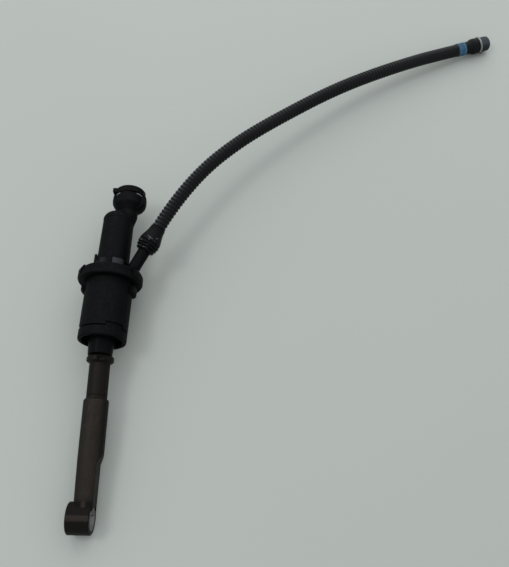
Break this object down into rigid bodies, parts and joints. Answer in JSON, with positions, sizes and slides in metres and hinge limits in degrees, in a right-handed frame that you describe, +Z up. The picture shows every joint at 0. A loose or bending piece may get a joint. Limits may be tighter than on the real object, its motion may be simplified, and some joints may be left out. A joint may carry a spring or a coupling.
{
  "type": "clutch master cylinder",
  "caption": "Clutch master cylinder with a flanged plastic housing, ball-jointed push rod with an eye, side outlet socket with a wire clip, and a ribbed reservoir hose.",
  "frame": {"origin": "centre of the flange face that meets the bulkhead, on the cylinder axis", "axes": "+Y along the cylinder axis from the pedal end to the outlet end, +X towards the hose side, +Z up from the surface that the part lies on"},
  "size_m": [0.4058, 0.5385, 0.0564],
  "materials": {
    "body_plastic": "satin, lightly textured moulding",
    "rod_plastic": "satin, glass-filled",
    "skirt_plastic": "satin",
    "bush_plastic": "smooth",
    "seal_rubber": "matt",
    "boot_rubber": "glossy rubber",
    "hose_rubber": "satin, ribbed",
    "tape_blue": "woven tape",
    "plug_plastic": "satin",
    "ring_metal": "bright",
    "clip_wire": "bright drawn wire",
    "spring_steel": "drawn wire",
    "plunger_metal": "hard anodised",
    "guide_plastic": "natural"
  },
  "bodies": {
    "housing": {"outer_housing": "body_plastic", "mouth_ring": "body_plastic", "stop_ring": "spring_steel", "pressure_cylinder": "body_plastic", "secondary_seal": "seal_rubber", "seal_spacer": "guide_plastic", "primary_seal": "seal_rubber", "return_spring": "spring_steel", "outlet_seal": "seal_rubber", "inlet_grommet": "seal_rubber", "inlet_tube": "body_plastic", "hose_boot": "boot_rubber", "hose": "hose_rubber", "hose_tape": "tape_blue", "hose_cuff": "boot_rubber", "crimp_ring": "ring_metal", "end_plug": "plug_plastic"},
    "spring_seat": {"spring_seat": "guide_plastic"},
    "piston": {"plunger": "plunger_metal", "guide_skirt": "skirt_plastic", "ball_retainer": "skirt_plastic"},
    "ball_seat": {"ball_collet": "guide_plastic"},
    "rod": {"push_rod": "rod_plastic", "eye_bush": "bush_plastic"},
    "clip": {"retaining_clip": "clip_wire"}
  },
  "joints": [
    {"name": "piston_slide", "type": "slide", "parent": "housing", "child": "spring_seat", "axis": [0, 1, 0], "range_m": [0, 0.03], "stiffness_N_per_m": 300, "springref_m": -0.015, "deforming": ["return_spring"]},
    {"name": "piston_turn", "type": "hinge", "parent": "spring_seat", "child": "piston", "pos_m": [0, 0, 0], "axis": [0, 1, 0], "continuous": true},
    {"name": "rod_swing", "type": "hinge", "parent": "piston", "child": "ball_seat", "pos_m": [0, -0.0455, 0], "axis": [0, 0, 1], "range_deg": [-7, 5]},
    {"name": "rod_tilt", "type": "hinge", "parent": "ball_seat", "child": "rod", "pos_m": [0, -0.0455, 0], "axis": [-1, 0, 0], "range_deg": [-0.3, 11.6]},
    {"name": "clip_slide", "type": "slide", "parent": "housing", "child": "clip", "axis": [0, 0, 1], "range_m": [0, 0.005]}
  ]
}
